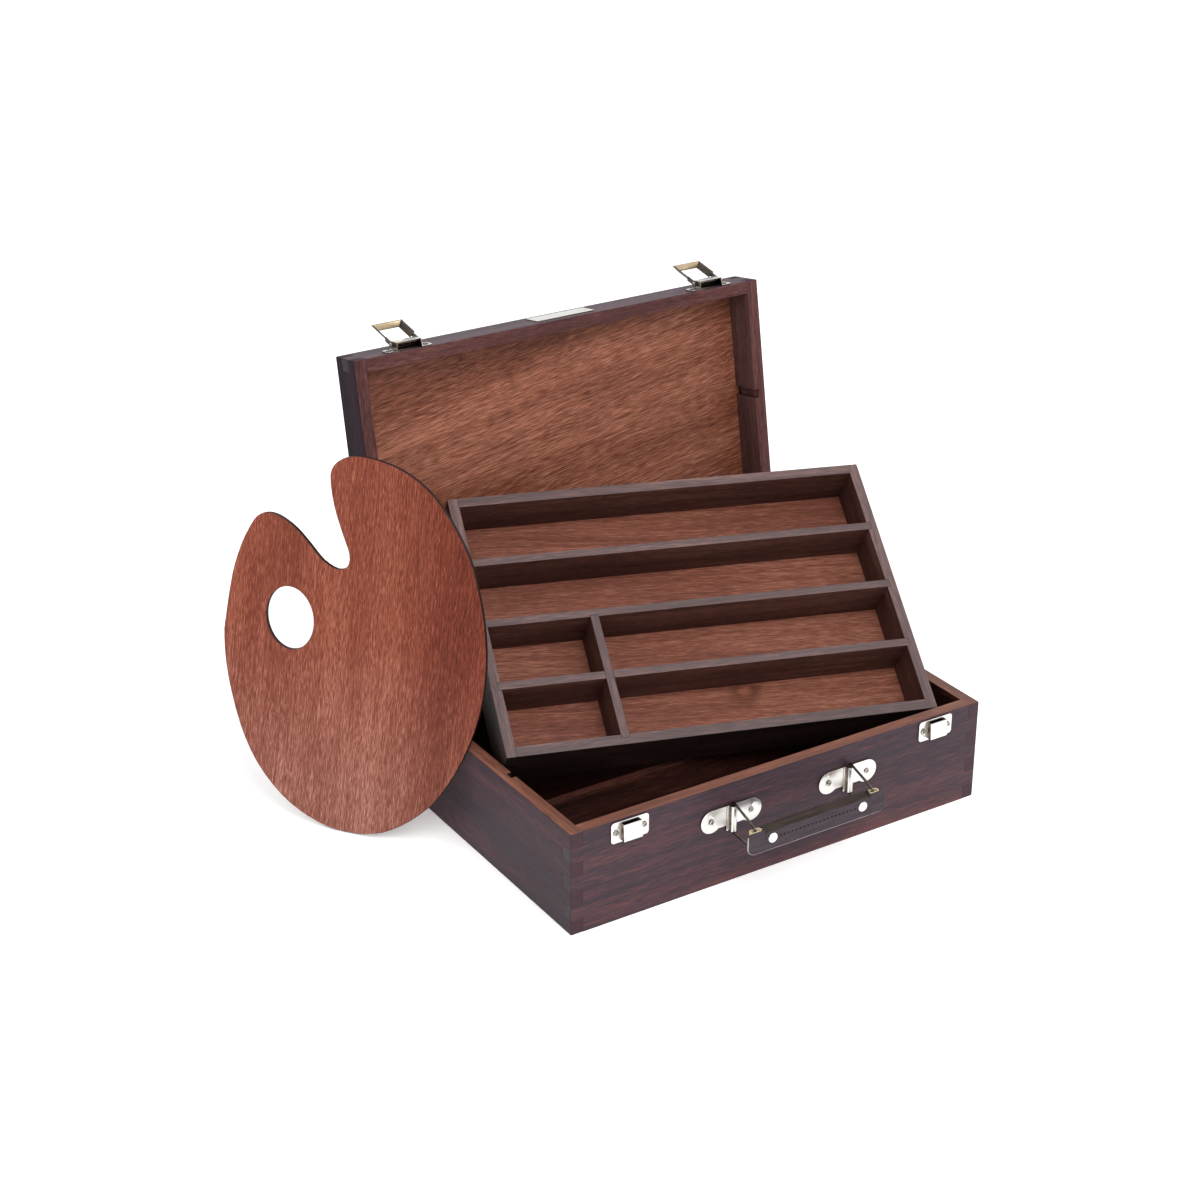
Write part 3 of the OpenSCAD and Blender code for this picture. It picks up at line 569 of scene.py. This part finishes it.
def eased(name, node, body, materials, width, out, reach, hollow=None):
    # a welded copy of the CAD metal with its sharp edges rounded. The first material is for
    # faces that look along out or against it, the second for the others, and the third for
    # faces that see another face of the same piece within reach, or whose centre lies in the
    # hollow: a box of the lid with its low and high corner
    mesh, bm = weldedCopy(name, node)
    tree = BVHTree.FromBMesh(bm)
    out = Vector(out)
    for face in bm.faces:
        normal = face.normal.copy()
        centre = face.calc_center_median()
        seen = tree.ray_cast(centre + normal * edgeRules["lift"], normal, reach)
        across = abs(normal.dot(out)) < edgeRules["alongOut"]
        inside = seen[0] is not None
        if hollow:
            at = lidBack @ centre
            inside = inside or all(a < b < c for a, b, c in zip(hollow[0], at, hollow[1]))
        face.material_index = 2 if inside else 1 if across else 0
        face.smooth = True
    edges = [e for e in bm.edges
             if len(e.link_faces) == 2 and e.calc_face_angle(0) < edgeRules["flat"]
             and e.link_faces[0].material_index == e.link_faces[1].material_index]
    bmesh.ops.dissolve_edges(bm, edges=edges, use_verts=True)
    weights = bevelWeights(bm)
    for edge in bm.edges:
        if len(edge.link_faces) == 2 and edge.calc_face_angle(0) > edgeRules["metalSharp"]:
            edge[weights] = 1.0
    piece, bevel = bevelled(name, mesh, bm, materials, width)
    bevel.use_clamp_overlap = True
    bevel.harden_normals = True
    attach(piece, body)
    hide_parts(node)


latchMiddles = {"left": -0.147, "right": 0.153}
latchHollow = {"half": 0.0111, "low": (-0.1456, 0.091), "high": (-0.1393, 0.1036)}
hollows = {
    "latch_" + side: ((middle - latchHollow["half"], *latchHollow["low"]),
                      (middle + latchHollow["half"], *latchHollow["high"]))
    for side, middle in latchMiddles.items()
}
outward = {
    "base": (0, -1, 0), "up": (0, 0, 1),
    "lid": tuple(placeMatrix("lid").to_3x3() @ Vector((0, -1, 0))),
}
# bright nickel on faces that look along out, painted shade on side faces and painted deep shade
# on faces close to others
plated = [nickel, nickelEdgeShade, nickelDeepShade]
# screw heads, with painted deep shade on their sides and slots
screwMetals = [screwHead, nickelDeepShade, nickelDeepShade]

# each fitting: its body, the way it looks, its metals, edge width and reach in mm
fittings = {
    "catch_left": ("base", "base", plated, 0.22, 16),
    "catch_right": ("base", "base", plated, 0.22, 16),
    "catch_screws": ("base", "base", screwMetals, 0.08, 1.5),
    "handle_plate_left": ("base", "base", plated, 0.3, 2.0),
    "handle_plate_right": ("base", "base", plated, 0.3, 2.0),
    "handle_plate_screws": ("base", "base", screwMetals, 0.08, 1.5),
    "hinge_leaves_base": ("base", "base", plated, 0.2, 2.0),
    "latch_left": ("lid", "lid", plated, 0.15, 24),
    "latch_right": ("lid", "lid", plated, 0.15, 24),
    "latch_screws": ("lid", "lid", screwMetals, 0.08, 1.5),
    "latch_pins": ("lid", "lid", plated, 0.1, 1.5),
    "name_plate": ("lid", "lid", plated, 0.15, 1.0),
    "name_plate_pins": ("lid", "lid", plated, 0.1, 1.0),
    "hinge_leaves_lid": ("lid", "lid", plated, 0.2, 2.0),
    "handle_rivets": ("handle", "base", plated, 0.25, 1.0),
    "handle_core": ("handle", "up", [curlBronze, curlBronze, bronzeShade], 0.15, 3.5),
}
for node, (body, side, metals, width, reach) in fittings.items():
    eased("metal_" + node, node, body, metals, width * mm, outward[side], reach * mm,
          hollows.get(node))

# the bail is one metal strip: its end bar takes a warm bronze colour, a painted reflection, and
# its two legs, outside the bar's box, take near black, a painted shade
bail = {"halfBar": 9 * mm, "far": 1, "width": 0.2 * mm, "reach": 0.01 * mm}
for side, middle in latchMiddles.items():
    bar = ((middle - bail["halfBar"], -bail["far"], -bail["far"]),
           (middle + bail["halfBar"], bail["far"], bail["far"]))
    eased("metal_bail_" + side, "bail_" + side, "bail_" + side,
          [bailLegShade, bailLegShade, bailBarReflection], bail["width"], (1, 0, 0), bail["reach"], bar)
for node in ("hinge_pins", "hinge_screws_base", "hinge_screws_lid"):
    nodes[node].data.materials.clear()
    nodes[node].data.materials.append(nickel)
print("fittings made")


# --- new surfaces from arrays
def built(name, points, faces, body, materials, kinds=None, replaced=(), smooth=True):
    mesh = bpy.data.meshes.new(name)
    mesh.from_pydata(points.tolist(), [], faces)
    for material in materials:
        mesh.materials.append(material)
    if kinds is not None:
        mesh.polygons.foreach_set("material_index", kinds.astype(np.int32))
    mesh.polygons.foreach_set("use_smooth", np.full(len(mesh.polygons), smooth))
    mesh.update()
    piece = linked(name, mesh)
    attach(piece, body)
    if replaced:
        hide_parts(*replaced)


def gridFaces(rows, columns, closedRows=False, closedColumns=False, start=0):
    # quads between neighbours of a rows by columns grid of points
    i = np.arange(rows if closedRows else rows - 1)[:, None]
    j = np.arange(columns if closedColumns else columns - 1)[None, :]
    nextI, nextJ = (i + 1) % rows, (j + 1) % columns
    corners = (i * columns + j, nextI * columns + j, nextI * columns + nextJ, i * columns + nextJ)
    shape = np.broadcast(i, j).shape
    quads = np.stack([np.broadcast_to(c, shape) for c in corners], -1)
    return start + quads.reshape(-1, 4)


def roundedPath(corners, cut, steps):
    # closed path: at each corner c, (1 - s)^2 a + 2 s (1 - s) c + s^2 b, where a and b lie
    # the cut length before and after it
    c = np.array(corners, float)
    before, after = np.roll(c, 1, 0) - c, np.roll(c, -1, 0) - c
    a = c + before / np.linalg.norm(before, axis=1)[:, None] * cut
    b = c + after / np.linalg.norm(after, axis=1)[:, None] * cut
    s = np.linspace(0, 1, steps)[None, :, None]
    bends = (1 - s) ** 2 * a[:, None] + 2 * s * (1 - s) * c[:, None] + s ** 2 * b[:, None]
    return bends.reshape(-1, 3)


# places in metres, the wire's corners, radius and bends in mm, and its turn in degrees
rings = {
    "left": (-0.052, -0.1419, 0.0605), "right": (0.063, -0.1419, 0.0605),
    "corners": ((0, 0, 13.6), (0, 0, -13.6), (0, -34, -11.9), (0, -34, 6.9)),
    "wire": 1.1, "bend": 1.9, "bendSteps": 9, "around": 20, "turn": -5.0,
}


def buildRing(side):
    # tube round a closed flat path: point = path(u) + wire (cos v * sideways + sin v * x)
    path = roundedPath(rings["corners"], rings["bend"], rings["bendSteps"]) * mm
    along = np.roll(path, -1, 0) - np.roll(path, 1, 0)
    along /= np.linalg.norm(along, axis=1)[:, None]
    ahead = np.array((1.0, 0, 0))
    sideways = np.cross(along, ahead)
    v = np.linspace(0, 2 * np.pi, rings["around"], endpoint=False)[None, :, None]
    section = np.cos(v) * sideways[:, None] + np.sin(v) * ahead
    points = path[:, None] + rings["wire"] * mm * section
    turn = Matrix.Rotation(math.radians(rings["turn"]), 4, "Z")
    matrix = Matrix.Translation(rings[side]) @ turn
    faces = gridFaces(len(path), rings["around"], True, True)
    built("wire_ring_" + side, moved(points.reshape(-1, 3), matrix), faces.tolist(),
          "ring_" + side, [wireSteel], replaced=("handle_ring_" + side,))


buildRing("left")
buildRing("right")
print("rings made")


# --- the leather grip
leatherRules = {
    "pebble": 900.0, "crease": (40, 260, 260), "creaseDetail": 3.0, "creaseBump": 1.5,
    "bumpDepth": 0.0003, "lightOver": (0.3, 0.75), "roughOver": (0.3, 0.7),
}


def leatherFinish(name, color, light, rough, grain, shine):
    # small pebbles from a cell pattern, with soft creases along the grip
    g = Graph(name)
    rules = leatherRules
    space = g.coords.outputs["Object"]
    cells = g.add("TexVoronoi", {"Vector": space, "Scale": rules["pebble"]})
    crease = g.noise(g.mapped(space, scale=rules["crease"]), detail=rules["creaseDetail"])
    creased = g.math("MULTIPLY", crease, rules["creaseBump"])
    g.bump(g.math("ADD", cells.outputs["Distance"], creased), grain, rules["bumpDepth"])
    shade = g.blend(g.span(crease, *rules["lightOver"]), color, light)
    return g.surface(Base_Color=shade, Specular_IOR_Level=shine,
                     Roughness=g.span(crease, *rules["roughOver"], rough))


leather = leatherFinish("gripLeather", (0.032, 0.023, 0.029), (0.060, 0.044, 0.055),
                        (0.45, 0.6), 0.3, 0.12)
leatherTop = leatherFinish("gripFold", (0.018, 0.012, 0.010), (0.046, 0.032, 0.026),
                           (0.40, 0.55), 0.45, 0.12)
# a pale copy of the leather for the sheet's rounded rim: a painted highlight along the edge
leatherRimHighlight = leatherFinish("gripRimHighlight", (0.30, 0.26, 0.28), (0.48, 0.43, 0.46),
                           (0.6, 0.8), 0.2, 0.2)
threadFinish = leatherFinish("gripThread", (0.006, 0.003, 0.003), (0.010, 0.006, 0.006),
                             (0.7, 0.9), 0.2, 0.03)

# in mm about the grip's middle: half lengths of the sheet and of its fold, the heights of its
# lower rim and tops, corner radii, half width and thickness, then what is pressed into it
grip = {
    "at": (2.537, -175.771, 58.0), "end": 67.5, "fold": 50.5, "foldSharp": 4,
    "low": 10.5, "flapTop": 8.5, "flapCorner": 3.0, "corner": 7.0,
    "top": 10.0, "bend": 4.6, "half": 4.8, "thick": 1.8, "rimRound": 0.8,
    "rimHighlightBand": 0.6, "topBand": 6.2, "foldBand": 1, "frontBand": 0.4,
    "rivet": 44.0, "rivetSize": 4.3, "rivetSink": 0.3, "rivetSpread": 0.9,
    "seam": 38, "seamSink": 0.28, "seamSpread": 0.55,
    "ripple": 0.12, "rippleAlong": (0.21, 0.8), "rippleUp": (0.5, 0.4),
    "across": 170, "rows": 150, "sineReach": 0.999, "endCrowding": 0.35, "rimCrowding": 0.2,
}


def gripPlace(points):
    # from mm about the grip's middle to metres in the frame
    return (np.array(grip["at"]) + points) * mm


def waves(values, frequencyAndPhase):
    frequency, phase = frequencyAndPhase
    return np.sin(values * frequency + phase)


def buildGrip():
    # one leather sheet: middle(s, x) runs up the front, over a half ellipse and down the back;
    # point = middle + half thickness * rounding towards the sheet's rim * normal
    end, low, thick = grip["end"], grip["low"], grip["thick"] / 2
    half = grip["half"] - thick
    crowding = grip["endCrowding"]
    u = np.linspace(-1, 1, grip["across"])
    crowded = end * np.sin(u * np.pi / 2 * grip["sineReach"])
    x = crowded * crowding + end * u * (1 - crowding)
    x[0], x[-1] = -end, end

    # the lower rim and the flaps' tops, with their round corners
    corner, flapCorner = grip["corner"], grip["flapCorner"]
    into = np.clip(np.abs(x) - (end - corner), 0, corner)
    bottom = -low + corner - np.sqrt(corner ** 2 - into ** 2)
    intoTop = np.clip(np.abs(x) - (end - flapCorner), 0, flapCorner)
    flapTop = grip["flapTop"] - flapCorner + np.sqrt(flapCorner ** 2 - intoTop ** 2)

    # how far the sheet is folded over at each x, and its length across
    bend = grip["bend"]
    rise = grip["top"] - thick - bend
    arc = np.pi / 2 * (half + rise)
    folded = 1 / (1 + np.exp((np.abs(x) - grip["fold"]) * grip["foldSharp"]))
    length = (flapTop - bottom) * (1 - folded) + (bend - bottom + arc + bend + low) * folded
    rows = np.linspace(0, 1, grip["rows"])
    crowdedRows = 0.5 - 0.5 * np.cos(np.pi * rows)
    rows = (1 - grip["rimCrowding"]) * rows + grip["rimCrowding"] * crowdedRows
    s = rows[None, :] * length[:, None]
    up = bend - bottom[:, None]
    angle = np.clip((s - up) / arc, 0, 1) * np.pi
    down = np.clip(s - up - arc, 0, None)
    curveY = -half * np.cos(angle)
    curveZ = np.where(s < up, bottom[:, None] + s, bend + rise * np.sin(angle) - down)
    share = folded[:, None]
    y = -half * (1 - share) + curveY * share
    z = (bottom[:, None] + s) * (1 - share) + curveZ * share
    middle = np.stack([np.broadcast_to(x[:, None], y.shape), y, z], -1)
    du, dv = np.gradient(middle, axis=0), np.gradient(middle, axis=1)
    normal = np.cross(dv, du)
    normal /= np.maximum(np.linalg.norm(normal, axis=-1), 1e-9)[..., None]

    # thickness rounded at the rim, with the seam's groove, the rivets' dimples and a ripple
    toRim = np.minimum(np.minimum(s, length[:, None] - s), (end - np.abs(x))[:, None])
    toRound = np.clip(1 - toRim / grip["rimRound"], 0, 1)
    swell = np.sqrt(np.clip(1 - toRound ** 2, 0, 1))
    awayX, height = np.abs(middle[..., 0]), middle[..., 2]
    front = (middle[..., 1] < -half + grip["frontBand"]).astype(float)
    groove = grip["seamSink"] * np.exp(-(height / grip["seamSpread"]) ** 2)
    groove = groove * (awayX < grip["seam"]) * front
    fromRivet = np.hypot(awayX - grip["rivet"], height)
    dent = ((fromRivet - grip["rivetSize"]) / grip["rivetSpread"]) ** 2
    dimple = grip["rivetSink"] * np.exp(-dent) * front
    ripple = grip["ripple"] * waves(middle[..., 0], grip["rippleAlong"])
    ripple = ripple * waves(height, grip["rippleUp"])
    outside = thick * swell - groove - dimple - np.abs(ripple) * swell
    outer = middle + normal * outside[..., None]
    inner = middle - normal * (thick * swell)[..., None]

    # the two faces of the sheet and the strip round its rim
    m, n = len(x), grip["rows"]
    points = np.concatenate([outer.reshape(-1, 3), inner.reshape(-1, 3)])
    rim = np.concatenate([np.arange(n), n - 1 + n * np.arange(1, m),
                          (m - 1) * n + np.arange(n - 2, -1, -1), n * np.arange(m - 2, 0, -1)])
    after = np.roll(rim, -1)
    walls = np.stack([rim, after, after + m * n, rim + m * n], -1)
    faces = np.concatenate([gridFaces(m, n)[:, ::-1], gridFaces(m, n, start=m * n), walls])
    centre = points[faces].mean(1)
    rimAway = np.concatenate([toRim.reshape(-1), toRim.reshape(-1)])[faces].mean(1)
    onTop = centre[:, 2] > grip["topBand"]
    onFold = onTop & (np.abs(centre[:, 0]) < grip["fold"] + grip["foldBand"])
    # faces within the rim band, below the top, take the pale leather: a painted highlight along
    # the rounded edge
    kinds = np.where((rimAway < grip["rimHighlightBand"]) & ~onTop, 2, np.where(onFold, 1, 0))
    built("leather_grip", gripPlace(points), faces.tolist(), "handle",
          [leather, leatherTop, leatherRimHighlight], kinds, replaced=("handle_grip",))


stitch = {
    "half": (1.25, 0.45, 0.55), "seam": 36.5, "count": 20, "proud": 0.15,
    "across": 9, "around": 10,
}


def buildStitches():
    # each stitch is a flattened ball drawn out along the seam, copied along x
    across, around, count = stitch["across"], stitch["around"], stitch["count"]
    halfX, halfY, halfZ = stitch["half"]
    t = np.linspace(0, np.pi, across)[:, None]
    v = np.linspace(0, 2 * np.pi, around, endpoint=False)[None, :]
    ball = np.stack([np.broadcast_to(-halfX * np.cos(t), (across, around)),
                     halfY * np.sin(t) * np.cos(v), halfZ * np.sin(t) * np.sin(v)], -1)
    starts = np.linspace(-stitch["seam"], stitch["seam"], count)
    shift = np.stack([starts, np.full(count, -grip["half"] + stitch["proud"]),
                      np.zeros(count)], -1)
    points = (ball.reshape(-1, 3)[None] + shift[:, None]).reshape(-1, 3)
    one = gridFaces(across, around, closedColumns=True)
    copies = (np.arange(count) * across * around)[:, None, None]
    faces = (one[None] + copies).reshape(-1, 4)
    built("grip_stitches", gripPlace(points), faces.tolist(), "handle",
          [threadFinish])


filler = {
    "half": (46, 3.1, 7.2), "middle": -2.2, "square": 0.35, "across": 12, "around": 40,
}


def squared(values):
    # pulls the points of a circle out towards a square's corners
    return np.sign(values) * np.abs(values) ** filler["square"]


def buildFiller():
    # a slab between the two flaps: its section is a square with rounded corners
    across, around, middle = filler["across"], filler["around"], filler["middle"]
    halfX, halfY, halfZ = filler["half"]
    t = np.linspace(0, 2 * np.pi, around, endpoint=False)
    section = np.stack([halfY * squared(np.cos(t)), middle + halfZ * squared(np.sin(t))], -1)
    x = np.linspace(-halfX, halfX, across)
    rows = np.concatenate([np.broadcast_to(x[:, None, None], (across, around, 1)),
                           np.broadcast_to(section[None], (across, around, 2))], -1)
    points = np.concatenate([rows.reshape(-1, 3), [[x[0], 0, middle], [x[-1], 0, middle]]])
    faces = gridFaces(across, around, closedColumns=True).tolist()
    startHub = across * around
    endHub, endRow = startHub + 1, startHub - around
    j = np.arange(around)
    after = (j + 1) % around
    startCap = np.stack([np.full(around, startHub), after, j], -1).tolist()
    endCap = np.stack([np.full(around, endHub), endRow + j, endRow + after], -1).tolist()
    built("grip_filler", gripPlace(points), faces + startCap + endCap, "handle",
          [threadFinish], smooth=False)


buildGrip()
buildStitches()
buildFiller()
print("grip made")
